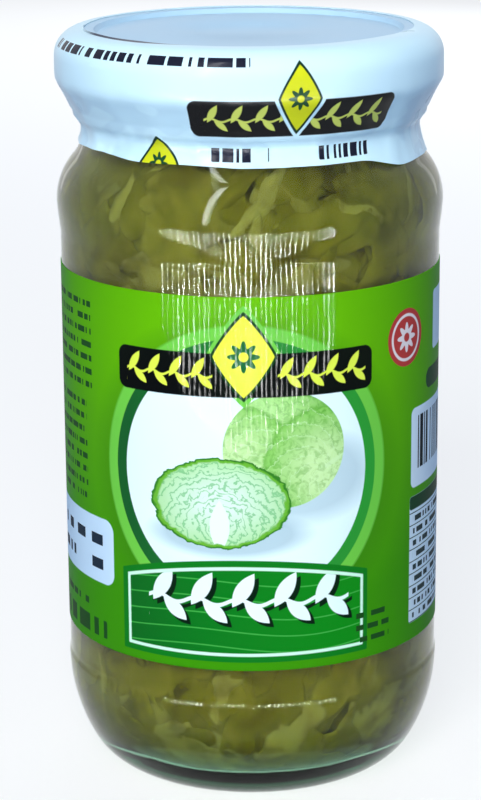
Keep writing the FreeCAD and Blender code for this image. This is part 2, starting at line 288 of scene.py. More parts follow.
class Print(Finish):
    # flat shapes laid round the jar: across is millimetres to the right of the front, up is height
    soft = 0.16

    def __init__(self, name, radius):
        super().__init__(name)
        x, y, z = self.split(self.objectPlace())
        self.angle = self.calc("ARCTAN2", x, self.calc("MULTIPLY", y, -1.0))
        self.across = self.calc("MULTIPLY", self.angle, radius / mm)
        self.up = self.calc("MULTIPLY", z, 1 / mm)

    def edge(self, distance, soft=None):
        # 1 inside, where the distance is below nought
        width = self.soft if soft is None else soft
        return self.calc("MULTIPLY_ADD", distance, -1 / width, 0.5, clamp=True)

    def offset(self, value, centre):
        return self.calc("SUBTRACT", value, centre)

    def disc(self, across, up, radius, soft=None, flat=1.0):
        x = self.offset(self.across, across)
        y = self.calc("DIVIDE", self.offset(self.up, up), flat)
        return self.edge(self.offset(self.length(x, y), radius), soft)

    def ring(self, across, up, outer, inner):
        return self.calc(
            "MULTIPLY", self.disc(across, up, outer), self.calc("SUBTRACT", 1.0, self.disc(across, up, inner))
        )

    def boxDistance(self, left, right, low, high, corner):
        x = self.calc("ABSOLUTE", self.offset(self.across, (left + right) / 2))
        y = self.calc("ABSOLUTE", self.offset(self.up, (low + high) / 2))
        pastX = self.offset(x, (right - left) / 2 - corner)
        pastY = self.offset(y, (high - low) / 2 - corner)
        outX = self.calc("MAXIMUM", pastX, 0.0)
        outY = self.calc("MAXIMUM", pastY, 0.0)
        inside = self.calc("MINIMUM", self.calc("MAXIMUM", pastX, pastY), 0.0)
        return self.offset(self.calc("ADD", self.length(outX, outY), inside), corner)

    def box(self, left, right, low, high, corner=0.3, soft=None):
        return self.edge(self.boxDistance(left, right, low, high, corner), soft)

    def both(self, first, second):
        return self.calc("MULTIPLY", first, second)

    def either(self, first, second):
        return self.calc("MAXIMUM", first, second)

    def without(self, first, second):
        return self.both(first, self.calc("SUBTRACT", 1.0, second))

    def leaf(self, x, y, length, width, lean):
        # a pointed oval about the cell's own middle, leaning by an angle
        u = self.calc("ADD", self.calc("MULTIPLY", x, math.cos(lean)), self.calc("MULTIPLY", y, math.sin(lean)))
        v = self.calc("SUBTRACT", self.calc("MULTIPLY", y, math.cos(lean)), self.calc("MULTIPLY", x, math.sin(lean)))
        share = self.calc("POWER", self.calc("DIVIDE", u, length), 2.0)
        half = self.calc("MULTIPLY_ADD", share, -width, width)
        return self.edge(self.calc("SUBTRACT", self.calc("ABSOLUTE", v), half))

    def lozenge(self, across, up, halfWidth, halfHeight):
        x = self.calc("DIVIDE", self.calc("ABSOLUTE", self.offset(self.across, across)), halfWidth)
        y = self.calc("DIVIDE", self.calc("ABSOLUTE", self.offset(self.up, up)), halfHeight)
        reach = self.calc("ADD", self.calc("POWER", x, 1.15), self.calc("POWER", y, 1.15))
        return self.edge(self.offset(reach, 1.0), self.soft / halfWidth)

    def garland(self, left, right, middle, pitch, length, width, shiftX=0.0, shiftY=0.0):
        # a waving stem with a leaf to each side of it in every pitch
        x = self.offset(self.across, left + shiftX)
        y = self.offset(self.up, middle + shiftY)
        cell = self.offset(self.calc("MULTIPLY", self.calc("FRACT", self.calc("DIVIDE", x, pitch)), pitch), pitch / 2)
        wave = self.calc("SINE", self.calc("MULTIPLY", x, fullTurn / pitch))
        stem = self.calc("ABSOLUTE", self.calc("MULTIPLY_ADD", wave, -0.16 * length, y))
        stem = self.edge(self.offset(stem, 0.1 * length))
        upper = self.leaf(
            self.offset(cell, -0.12 * pitch), self.offset(y, 0.62 * length), length, width, math.radians(58)
        )
        lower = self.leaf(
            self.offset(cell, 0.2 * pitch), self.offset(y, -0.5 * length), length * 0.82, width * 0.9, math.radians(-42)
        )
        shape = self.either(stem, self.either(upper, lower))
        return self.both(shape, self.box(left + shiftX, right + shiftX, middle - 40, middle + 40))

    def repeatEvery(self, span):
        # the print comes again every span round the jar
        self.across = self.calc("WRAP", self.across, span / 2, -span / 2)

    def rosette(self, across, up, radius):
        # a flower of eight petals round a clear eye
        x = self.offset(self.across, across)
        y = self.offset(self.up, up)
        swing = self.calc("COSINE", self.calc("MULTIPLY", self.calc("ARCTAN2", y, x), 8.0))
        reach = self.calc("MULTIPLY_ADD", swing, radius * 0.22, radius * 0.78)
        petals = self.edge(self.calc("SUBTRACT", self.length(x, y), reach))
        return self.without(petals, self.disc(across, up, radius * 0.3))

    def dashes(self, left, right, low, high, line, dash, fill, seed=0.0):
        # rows of small bars of uneven length
        row = self.calc("DIVIDE", self.offset(self.up, low), line)
        inRow = self.calc("LESS_THAN", self.calc("FRACT", row), 0.44)
        column = self.calc("FLOOR", self.calc("DIVIDE", self.offset(self.across, left), dash))
        lit = self.calc("LESS_THAN", self.chance(column, self.calc("ADD", self.calc("FLOOR", row), seed)), fill)
        return self.both(self.both(inRow, lit), self.box(left, right, low, high))


# the glass jar

jar = {
    "panelFoot": 20.5 * mm,
    "panelTop": 96.6 * mm,
    "heelTop": 19.7 * mm,
    "baseR": 20.6 * mm,
    "baseCorner": 10 * mm,
    "ringWidth": 1.6 * mm,
    "dish": 1.6 * mm,
    "crestZ": 101.9 * mm,
    "shoulderRound": 11.5 * mm,
    "neckZ": 114.2 * mm,
    "neckTop": 116.0 * mm,
    "neckR": 28.8 * mm,
    "beadR": 30.2 * mm,
    "beadFoot": 117.6 * mm,
    "beadTop": 120.0 * mm,
    "mouthR": 29.6 * mm,
    "boreR": 26.8 * mm,
    "innerShoulderRound": 9.8 * mm,
    "floorR": 18.5 * mm,
    "floorRise": 0.8 * mm,
    "floorCorner": 9 * mm,
    "ridge": 0.2 * mm,
    "rimRound": 1.0 * mm,
    "steps": 224,
}
panelR = labelLow[0] * -1 - 0.12 * mm
crestR = jarHigh[0]
rimZ = jarHigh[2]
innerR = fillHigh[0]
floorZ = fillLow[2]
fillTop = fillHigh[2]


def jarOutside():
    dish = [(jar["baseR"] - jar["ringWidth"]) * i / 12 for i in range(13)]
    reach = jar["baseR"] - jar["ringWidth"]
    base = [(r, jar["dish"] * (1 - (r / reach) ** 2)) for r in dish]
    heel = heelPoints(jar["baseR"], 0, panelR + jar["ridge"], jar["heelTop"], jar["baseCorner"], 16)
    panel = [
        (panelR + jar["ridge"] * 0.8, jar["heelTop"] + 0.4 * mm),
        (panelR, jar["panelFoot"]),
        (panelR, jar["panelFoot"] + 0.4 * mm),
        (panelR, jar["panelTop"] - 0.4 * mm),
        (panelR, jar["panelTop"]),
        (panelR + 0.06 * mm, jar["panelTop"] + 0.5 * mm),
        (panelR + 0.4 * mm, jar["crestZ"] - 2 * mm),
    ]
    shoulder = shoulderPoints(crestR, jar["crestZ"], jar["neckR"], jar["neckZ"], jar["shoulderRound"], 16)
    bead = [
        (jar["neckR"], jar["neckTop"] - 0.3 * mm),
        (jar["neckR"] + 0.25 * mm, jar["neckTop"] + 0.3 * mm),
        (jar["beadR"] - 0.2 * mm, jar["beadFoot"] - 0.3 * mm),
        (jar["beadR"], jar["beadFoot"] + 0.2 * mm),
        (jar["beadR"], jar["beadTop"] - 0.2 * mm),
        (jar["mouthR"], jar["beadTop"] + 0.6 * mm),
    ]
    rim = arcPoints(jar["mouthR"] - jar["rimRound"], rimZ - jar["rimRound"], jar["rimRound"], 0, math.pi / 2, 7)
    return base + heel + panel + shoulder + bead + rim


def jarInside():
    # from the bore down to the middle of the floor
    neck = shoulderPoints(innerR, jar["crestZ"], jar["boreR"], jar["neckZ"], jar["innerShoulderRound"], 14)
    heel = heelPoints(jar["floorR"], floorZ, innerR, jar["heelTop"], jar["floorCorner"], 16)
    count = 12
    floor = [(jar["floorR"] * i / count, floorZ + jar["floorRise"] * (1 - (i / count) ** 2)) for i in range(count)]
    return neck[::-1] + heel[::-1] + floor[::-1]


def makeGlass():
    bore = arcPoints(jar["boreR"] + jar["rimRound"], rimZ - jar["rimRound"], jar["rimRound"], math.pi / 2, math.pi, 7)
    glass = turnSection("glass", jarOutside() + bore + jarInside(), jar["steps"])
    finishPiece(glass, "glass_jar", glassFinish())
    return glass


def glassFinish():
    f = Finish("clearGlass")
    place = f.objectPlace()
    ripple = f.noise(f.stretched(place, 1, 1, 0.25), 150, 2)
    broad = f.noise(place, 38, 2)
    normal = f.bump(ripple, 0.25, 0.12 * mm, f.bump(broad, 0.3, 0.5 * mm))
    f.dress(
        Base_Color=(0.98, 0.995, 0.985, 1), Transmission_Weight=1.0, IOR=1.45, Roughness=0.01, Normal=normal,
        Specular_Tint=(0.28, 0.28, 0.28, 1),
    )
    f.letLampsThrough((0.97, 0.985, 0.975, 1))
    tint = f.add("ShaderNodeVolumeAbsorption")
    tint.inputs["Color"].default_value = (0.40, 0.66, 0.56, 1)
    tint.inputs["Density"].default_value = 150
    f.link(tint.outputs[0], f.output.inputs["Volume"])
    return f.material


# the lid

lid = {
    "sheet": 0.3 * mm,
    "cornerR": 4.4 * mm,
    "curlR": 0.9 * mm,
    "curlIn": 0.45 * mm,  # the rolled edge stands back from the side
    "panelR": 26.7 * mm,
    "panelDrop": 0.9 * mm,
    "panelSlope": 0.5 * mm,
    "panelRound": 0.25 * mm,
    "steps": 224,
}


def makeLid():
    top = lidHigh[2]
    side = lidHigh[0]
    foot = lidLow[2]
    sheet = lid["sheet"]
    flat = side - lid["cornerR"]
    panelZ = top - lid["panelDrop"]
    slopeR = lid["panelR"] - lid["panelSlope"]
    curlR = side - lid["curlIn"] - lid["curlR"]
    curlZ = foot + lid["curlR"]
    rounding = lid["panelRound"]
    outside = [
        (0, panelZ),
        (slopeR * 0.35, panelZ + 0.02 * mm),
        (slopeR * 0.36, panelZ + 0.16 * mm),
        (slopeR * 0.9, panelZ + 0.16 * mm),
        (slopeR - rounding, panelZ),
        (slopeR, panelZ + rounding),
        (lid["panelR"] - rounding, top - rounding * 0.4),
        (lid["panelR"] + rounding * 0.4, top),
    ]
    outside += arcPoints(flat, top - lid["cornerR"], lid["cornerR"], math.pi / 2, 0, 12)
    outside += [(side, foot + 3.2 * mm), (side - 0.12 * mm, foot + 2.2 * mm)]
    outside += arcPoints(curlR, curlZ, lid["curlR"], 0, -math.pi, 9)
    inside = [(side - sheet, foot + 2.6 * mm)]
    inside += arcPoints(flat, top - lid["cornerR"], lid["cornerR"] - sheet, 0, math.pi / 2, 8)
    inside += [(lid["panelR"], top - sheet), (slopeR, panelZ - sheet), (0, panelZ - sheet)]
    piece = turnSection("lidSheet", outside + inside, lid["steps"])
    finishPiece(piece, "lid", lidFinish())
    return piece


def lidFinish():
    f = Finish("lacqueredSheet")
    place = f.objectPlace()
    cloud = f.noise(place, 45, 3)
    fine = f.noise(place, 420, 3)
    colour = f.blend(cloud, srgb(171, 205, 225), srgb(181, 212, 231))
    scuffs = f.remap(f.noise(f.stretched(place, 1, 3, 1), 160, 4), 0.66, 0.76)
    colour = f.blend(f.calc("MULTIPLY", scuffs, 0.25), colour, srgb(164, 198, 218))
    f.dress(Base_Color=colour, Roughness=f.remap(cloud, 0.3, 0.7, 0.3, 0.42), Coat_Weight=0.04)
    f.dress(Normal=f.bump(fine, 0.12, 0.05 * mm))
    f.surface.inputs["Specular IOR Level"].default_value = 0.1
    return f.material


# the sealing film over lid and neck

film = {
    "thick": 0.1 * mm,
    "lift": 0.04 * mm,  # clear of the lid under it
    "frontEdgeR": 24.4 * mm,
    "backEdgeR": 28.1 * mm,
    "flatR": 28.0 * mm,  # where the flat part over the lid ends, as drawn
    "flatShapedR": 28.3 * mm,  # and once shaped
    "edgeTurn": 8,  # where the film reaches furthest in over the lid, degrees from the front
    "edgeSpan": 84,
    "steps": 320,
    "hemDip": 2.0 * mm,
    "waist": 28.87 * mm,
}


def filmSection():
    lift = film["lift"]
    top = lidHigh[2] + lift
    side = lidHigh[0] + lift
    corner = lid["cornerR"]
    foot = lidLow[2]
    points = [(r, top) for r in spread(film["frontEdgeR"], film["flatR"], 9)]
    points += arcPoints(side - corner, top - corner, corner, math.pi / 2, 0, 12)
    points += [
        (side + 0.03 * mm, foot + 3.6 * mm),
        (side + 0.02 * mm, foot + 2.4 * mm),
        (side - 0.08 * mm, foot + 1.5 * mm),
        (side - 0.42 * mm, foot + 0.75 * mm),
        (side - 0.95 * mm, foot - 0.1 * mm),
        (side - 1.75 * mm, foot - 1.5 * mm),
        (side - 2.4 * mm, foot - 2.9 * mm),
        (jar["beadR"] + 0.1 * mm, jar["beadFoot"] + 0.4 * mm),
        (jar["beadR"] - 0.1 * mm, jar["beadFoot"] - 0.5 * mm),
        (jar["beadR"] - 0.7 * mm, jar["beadFoot"] - 1.3 * mm),
        (film["waist"] + 0.1 * mm, jar["neckTop"] - 0.5 * mm),
        (film["waist"], jar["neckTop"] - 1.2 * mm),
        (film["waist"] + 0.03 * mm, jar["neckTop"] - 1.9 * mm),
        (film["waist"] + 0.12 * mm, jar["neckTop"] - 2.6 * mm),
        (film["waist"] + 0.32 * mm, jar["neckTop"] - 3.3 * mm),
        (film["waist"] + 0.56 * mm, jar["neckTop"] - 3.9 * mm),
    ]
    return points


def filmShape(point):
    # the cut edges wander, and the film creases where it was shrunk on
    angle = math.atan2(point.x, -point.y)
    radius = math.hypot(point.x, point.y)
    height = point.z
    degrees = math.degrees(angle)
    top = lidHigh[2]
    if height > top - 0.01 * mm and radius < film["flatR"] + 0.01 * mm:
        away = abs((degrees - film["edgeTurn"] + 180) % 360 - 180)
        edge = film["frontEdgeR"] + (film["backEdgeR"] - film["frontEdgeR"]) * ease(0, film["edgeSpan"], away)
        edge += 0.25 * mm * noise.noise(Vector((math.sin(angle) * 3, math.cos(angle) * 3, 5)))
        share = (radius - film["frontEdgeR"]) / (film["flatR"] - film["frontEdgeR"])
        radius = edge + (film["flatShapedR"] - edge) * share
        slope = lid["panelR"] - radius
        if slope > 0:
            height -= min(slope * 0.16, lid["panelDrop"] * 0.55)
        left = ease(30, 75, -degrees) * (1 - ease(78, 100, -degrees))
        height += left * (1 - share) * 0.35 * mm
    below = jar["neckTop"] - height
    if below > 0:
        share = ease(0.6 * mm, 3.9 * mm, below)
        dip = ease(38, 60, degrees) * (1 - ease(105, 150, degrees)) * film["hemDip"]
        dip -= ease(36, 62, -degrees) * (1 - ease(75, 110, -degrees)) * 0.35 * mm
        dip += 0.3 * mm * noise.noise(Vector((math.sin(angle) * 2.3, math.cos(angle) * 2.3, 1)))
        dip += 0.12 * mm * math.sin(3 * angle + 0.6)
        height -= dip * share
        radius += dip * share * 0.42
    # shallow pleats under the lid's edge and at the neck, broad flats between them
    loose = ease(lidLow[2] + 3 * mm, lidLow[2] - 2 * mm, height)
    ruck = noise.noise(Vector((math.sin(angle) * 6, math.cos(angle) * 6, height / mm * 0.09)))
    pleat = noise.noise(Vector((math.sin(angle) * 13 + 4, math.cos(angle) * 13, height / mm * 0.16 + 9)))
    slack = max(ruck + 0.15, 0.0) * 0.55 + max(pleat, 0.0) * 0.3
    onTop = ease(top - 0.6 * mm, top - 0.1 * mm, height)
    radius += (1 - onTop) * (0.12 + 0.55 * loose) * mm * slack
    return Vector((radius * math.sin(angle), -radius * math.cos(angle), height))


def makeFilm():
    piece = turnSection("sealFilm", filmSection(), film["steps"])
    # distance in from the cut edge, which places the painted shadow line along it
    inward = piece.data.attributes.new("inward", "FLOAT", "POINT")
    for vertex in piece.data.vertices:
        onTop = vertex.co.z > lidHigh[2] - 0.01 * mm
        share = (math.hypot(vertex.co.x, vertex.co.y) - film["frontEdgeR"]) / (film["flatR"] - film["frontEdgeR"])
        vertex.co = filmShape(vertex.co)
        if onTop and share < 0.99:
            toOuter = film["flatShapedR"] - math.hypot(vertex.co.x, vertex.co.y)
            inward.data[vertex.index].value = share * toOuter / (1 - share) / mm
        else:
            inward.data[vertex.index].value = 9.0
    only(piece)
    wall = piece.modifiers.new("wall", "SOLIDIFY")
    wall.thickness = film["thick"]
    wall.offset = 1
    bpy.ops.object.modifier_apply(modifier=wall.name)
    bpy.ops.object.shade_smooth_by_angle(angle=math.radians(45))
    finishPiece(piece, "seal_film", filmFinish())
    return piece


def filmFinish():
    # print on white film: a dark plate with a lozenge through it, and rows of small bars
    f = Print("printedFilm", 31.5 * mm)
    place = f.objectPlace()
    angle = f.angle
    f.repeatEvery(math.pi * 31.5)
    cloud = f.noise(place, 70, 3)
    colour = f.blend(cloud, srgb(202, 234, 246), srgb(212, 242, 250))
    # darker patches in the creases low on the film are painted shade
    shadePatch = f.remap(f.noise(f.stretched(place, 1, 1, 1.6), 120, 1), 0.5, 0.56)
    low = f.remap(f.up, 122.6, 121.4)
    colour = f.blend(f.calc("MULTIPLY", f.both(shadePatch, low), 0.35), colour, srgb(172, 206, 226))
    plate = f.box(-9.8, 25.4, 117.2, 123.4, 1.5)
    halo = f.lozenge(7.9, 123.6, 4.1, 6.9)
    badge = f.lozenge(7.9, 123.6, 3.5, 6.1)
    plate = f.without(plate, halo)
    colour = f.blend(plate, colour, srgb(4, 7, 12))
    vine = f.both(f.garland(-7.4, 23.6, 120.1, 3.9, 1.8, 0.58), plate)
    colour = f.blend(vine, colour, srgb(205, 214, 100))
    colour = f.blend(badge, colour, srgb(8, 48, 28))
    colour = f.blend(f.lozenge(7.9, 123.6, 3.1, 5.4), colour, srgb(210, 214, 26))
    colour = f.blend(f.rosette(7.9, 123.6, 1.9), colour, srgb(12, 66, 34))
    colour = f.blend(f.lozenge(-16.6, 112.2, 4.0, 4.6), colour, srgb(8, 48, 28))
    colour = f.blend(f.lozenge(-16.6, 112.2, 3.5, 4.0), colour, srgb(200, 206, 24))
    colour = f.blend(f.rosette(-16.6, 112.2, 1.9), colour, srgb(12, 66, 34))
    upper = f.dashes(-44, 0.2, 128.75, 130.4, 3.2, 0.5, 0.62, 3)
    lower = f.either(f.dashes(-6.8, 3.4, 112.9, 115.5, 5.2, 0.5, 0.62, 7), f.dashes(12.4, 22.8, 112.9, 115.5, 5.2, 0.5, 0.62, 9))
    colour = f.blend(f.either(upper, lower), colour, srgb(8, 14, 36))
    # the cut edge over the lid stands off, and the shadow under it is painted on the film as a dark line
    inward = f.add("ShaderNodeAttribute", attribute_name="inward").outputs["Fac"]
    shadowedSpan = f.calc("MULTIPLY", f.remap(angle, -1.45, -1.15), f.remap(angle, -0.02, -0.08))
    thick = f.remap(angle, -0.75, -0.1, 1.5, 1.0)
    line = f.edge(f.calc("SUBTRACT", inward, thick), 0.3)
    colour = f.blend(f.both(line, shadowedSpan), colour, srgb(30, 44, 70))
    crease = f.noise(f.stretched(place, 1, 1, 0.35), 190, 3)
    f.dress(Base_Color=colour, Roughness=f.remap(cloud, 0.3, 0.7, 0.25, 0.38), Coat_Weight=0.08)
    f.dress(Coat_Roughness=0.1, Normal=f.bump(crease, 0.22, 0.12 * mm))
    f.surface.inputs["Specular IOR Level"].default_value = 0.1
    return f.material


# the label

label = {
    "paper": 0.12 * mm,
    "lap": 7,  # degrees that the paper overlaps itself at the back
    "steps": 256,
    "rows": 10,
}


def makeLabel():
    face = labelHigh[0]
    low = labelLow[2]
    high = labelHigh[2]
    back = face - label["paper"] * 0.9
    edge = 0.04 * mm
    front = [(face - edge, low)] + [(face, z) for z in spread(low + edge, high - edge, label["rows"])]
    section = front + [(face - edge, high), (back, high), (back, low), (face - edge, low)]
    piece = turnSection("wrapLabel", section, label["steps"])
    for vertex in piece.data.vertices:
        # the free end of the paper lies over the other end behind
        x, y, z = vertex.co
        past = math.degrees(math.atan2(-x, y))
        over = ease(-label["lap"], -label["lap"] + 0.8, past) * (1 - ease(-0.6, 0.2, past))
        scale = 1 + over * label["paper"] / face
        vertex.co = Vector((x * scale, y * scale, z))
    finishPiece(piece, "label", labelFinish(face))
    return piece


def paintVegetables(f, colour):
    # a halved head low on the left and a whole head behind it, on white
    place = f.vector(f.across, f.up)
    fold = f.noise(place, 0.32, 3, twist=1.2)
    crinkle = f.noise(place, 0.75, 4, 0.6, twist=0.8)
    shade = f.disc(8.5, 60.5, 12.5, soft=5.0, flat=0.6)
    colour = f.blend(f.calc("MULTIPLY", shade, 0.55), colour, srgb(150, 178, 190))
    shade = f.disc(-4.0, 50.8, 13.0, soft=4.5, flat=0.3)
    colour = f.blend(f.calc("MULTIPLY", shade, 0.6), colour, srgb(140, 170, 184))
    head = f.disc(5.6, 65.4, 10.4, flat=0.96)
    colour = f.blend(head, colour, paintLeaves(f, crinkle))
    wave = f.calc("MULTIPLY_ADD", fold, 2.4, -1.2)
    cutX = f.offset(f.across, -5.4)
    cutY = f.calc("DIVIDE", f.offset(f.up, 56.2), 0.66)
    fromMiddle = f.calc("ADD", f.length(cutX, cutY), wave)
    cut = f.edge(f.offset(fromMiddle, 12.0))
    rings = f.length(f.offset(f.across, -5.4), f.calc("DIVIDE", f.offset(f.up, 52.5), 0.78))
    wavy = f.calc("ADD", rings, f.calc("ADD", f.calc("MULTIPLY", fold, 5.0), f.calc("MULTIPLY", crinkle, 2.2)))
    layer = f.calc("SINE", f.calc("MULTIPLY", wavy, 4.2))
    flesh = f.blend(f.remap(fromMiddle, 3, 12), srgb(222, 246, 226), srgb(170, 222, 150))
    flesh = f.blend(f.calc("MULTIPLY", f.remap(layer, 0.35, 0.95), 0.75), flesh, srgb(112, 190, 122))
    stalk = f.leaf(cutX, f.offset(f.up, 52.2), 4.6, 1.7, math.radians(90))
    flesh = f.blend(stalk, flesh, srgb(236, 253, 238))
    flesh = f.blend(f.remap(fromMiddle, 10.7, 11.1), flesh, srgb(104, 178, 52))
    flesh = f.blend(f.remap(fromMiddle, 11.4, 11.7), flesh, srgb(52, 126, 36))
    return f.blend(cut, colour, flesh)


def paintLeaves(f, crinkle):
    # three lapped leaves, each with its own edge, rib and branching veins
    lit = f.length(f.offset(f.across, 2.5), f.offset(f.up, 69))
    green = f.blend(f.remap(lit, 2, 15), srgb(188, 238, 150), srgb(92, 172, 44))
    green = f.blend(f.calc("MULTIPLY", f.remap(crinkle, 0.46, 0.64), 0.5), green, srgb(66, 148, 34))
    leaves = [(8.0, 54.5, 12.6, 0.5), (-3.5, 60.5, 13.0, -0.75), (12.5, 62.0, 10.6, 1.1)]
    for footX, footY, reach, lean in leaves:
        x = f.offset(f.across, footX)
        y = f.offset(f.up, footY)
        bulge = f.calc("MULTIPLY_ADD", crinkle, 2.6, -1.3)
        fromFoot = f.calc("ADD", f.length(x, y), bulge)
        fan = f.offset(f.calc("ARCTAN2", x, y), lean)
        inside = f.edge(f.offset(fromFoot, reach), 0.5)
        tone = f.blend(f.remap(fromFoot, reach * 0.3, reach), srgb(206, 240, 170), srgb(120, 196, 72))
        tone = f.blend(f.calc("MULTIPLY", f.remap(crinkle, 0.48, 0.62), 0.4), tone, srgb(78, 160, 40))
        side = f.calc("ABSOLUTE", fan)
        swept = f.calc("ADD", f.calc("MULTIPLY", fromFoot, 0.16), f.calc("MULTIPLY", side, -0.9))
        vein = f.calc("ABSOLUTE", f.calc("SINE", f.calc("MULTIPLY", swept, 7.5)))
        vein = f.edge(f.offset(vein, 0.1), 0.2)
        rib = f.edge(f.offset(f.calc("MULTIPLY", side, fromFoot), 0.35), 0.3)
        tone = f.blend(f.calc("MULTIPLY", f.either(vein, rib), 0.6), tone, srgb(216, 246, 192))
        lip = f.both(inside, f.remap(fromFoot, reach - 0.9, reach))
        tone = f.blend(f.calc("MULTIPLY", lip, 0.55), tone, srgb(60, 136, 36))
        green = f.blend(f.calc("MULTIPLY", inside, 0.85), green, tone)
    return green


def paintPlate(f, colour):
    # arched green plate with a white line and a white garland that throws a dark shadow
    bend = f.calc("POWER", f.calc("DIVIDE", f.offset(f.across, -1.5), 22.4), 2.0)
    arch = f.calc("MULTIPLY", bend, 3.6)
    body = f.both(f.box(-24.0, 20.9, 28.2, 60, 0.2), f.edge(f.calc("ADD", f.offset(f.up, 46.35), arch)))
    line = f.both(f.box(-22.9, 20.0, 29.25, 60, 0.2), f.edge(f.calc("ADD", f.offset(f.up, 45.2), arch)))
    field = f.both(f.box(-22.35, 19.45, 29.8, 60, 0.2), f.edge(f.calc("ADD", f.offset(f.up, 44.6), arch)))
    stripe = f.calc("ADD", f.up, f.calc("MULTIPLY", f.calc("SINE", f.calc("MULTIPLY", f.across, 0.16)), 0.7))
    stripe = f.calc("ABSOLUTE", f.calc("SUBTRACT", f.calc("FRACT", f.calc("DIVIDE", stripe, 2.9)), 0.5))
    green = f.blend(f.remap(f.across, -22, 20), srgb(6, 104, 30), srgb(10, 140, 22))
    green = f.blend(f.edge(f.offset(stripe, 0.035), 0.06), green, srgb(64, 176, 70))
    shadow = f.garland(-18.4, 17.0, 38.9, 7.1, 3.5, 1.35, 0.75, -0.75)
    leaves = f.garland(-18.4, 17.0, 38.9, 7.1, 3.5, 1.35)
    colour = f.blend(body, colour, srgb(9, 122, 28))
    colour = f.blend(line, colour, srgb(214, 255, 226))
    colour = f.blend(field, colour, green)
    colour = f.blend(f.both(shadow, field), colour, srgb(2, 32, 14))
    return f.blend(f.both(leaves, field), colour, srgb(234, 255, 250))


def paintSides(f, colour):
    # small print as rows of plain bars, white fields, a ruled table and a red roundel
    ink = srgb(24, 76, 26)
    small = f.either(
        f.dashes(-58, -31.5, 72.5, 88, 2.35, 0.42, 0.7), f.dashes(-58, -33.5, 52.5, 71.0, 2.35, 0.42, 0.7, 31)
    )
    weight = f.either(f.dashes(-58, -33.0, 33.2, 34.4, 3.0, 0.7, 0.75, 5), f.dashes(-58, -28.5, 28.2, 31.4, 8.0, 1.5, 0.8, 9))
    note = f.dashes(18.6, 26.0, 29.6, 36.0, 2.2, 0.8, 0.75, 13)
    colour = f.blend(f.either(small, f.either(weight, note)), colour, ink)
    date = f.box(-62, -26.3, 38.2, 50.0, 2.2)
    colour = f.blend(date, colour, srgb(208, 233, 250))
    stamp = f.dashes(-58, -29.0, 40.6, 47.6, 4.4, 1.15, 0.55, 17)
    colour = f.blend(f.both(stamp, date), colour, srgb(30, 44, 62))
    red = f.disc(30.3, 81.4, 5.0)
    inner = f.without(f.disc(30.3, 81.4, 4.1), f.disc(30.3, 81.4, 3.6))
    colour = f.blend(red, colour, srgb(186, 60, 58))
    colour = f.blend(inner, colour, srgb(240, 226, 222))
    colour = f.blend(f.rosette(30.3, 81.4, 2.6), colour, srgb(236, 222, 220))
    bars = f.box(32.1, 60, 54.2, 68.4, 1.2)
    colour = f.blend(bars, colour, srgb(222, 238, 246))
    code = f.calc("LESS_THAN", f.chance(f.calc("FLOOR", f.calc("DIVIDE", f.across, 0.42)), 3.0), 0.5)
    colour = f.blend(f.both(code, f.box(34.2, 57.5, 57.4, 66.8, 0.1)), colour, srgb(20, 26, 30))
    table = f.box(31.8, 66, 29.8, 52.7, 0.6)
    colour = f.blend(table, colour, srgb(216, 233, 240))
    rule = f.calc("LESS_THAN", f.calc("FRACT", f.calc("DIVIDE", f.offset(f.up, 29.8), 2.2)), 0.09)
    rule = f.either(rule, f.box(49.8, 50.1, 29.8, 50.2, 0.05))
    colour = f.blend(f.both(rule, table), colour, srgb(70, 90, 84))
    rows = f.either(
        f.dashes(33.0, 47.5, 30.5, 50.0, 2.2, 0.62, 0.68, 41), f.dashes(51.5, 63.5, 30.5, 50.0, 2.2, 0.62, 0.55, 57)
    )
    colour = f.blend(rows, colour, srgb(44, 60, 60))
    colour = f.blend(f.box(31.8, 66, 50.3, 52.7, 0.6), colour, srgb(22, 66, 40))
    pill = f.box(37.6, 58, 70.6, 74.2, 1.7)
    colour = f.blend(pill, colour, srgb(16, 70, 40))
    return f.blend(f.box(41.0, 56, 77.0, 87.4, 0.8), colour, srgb(214, 232, 240))


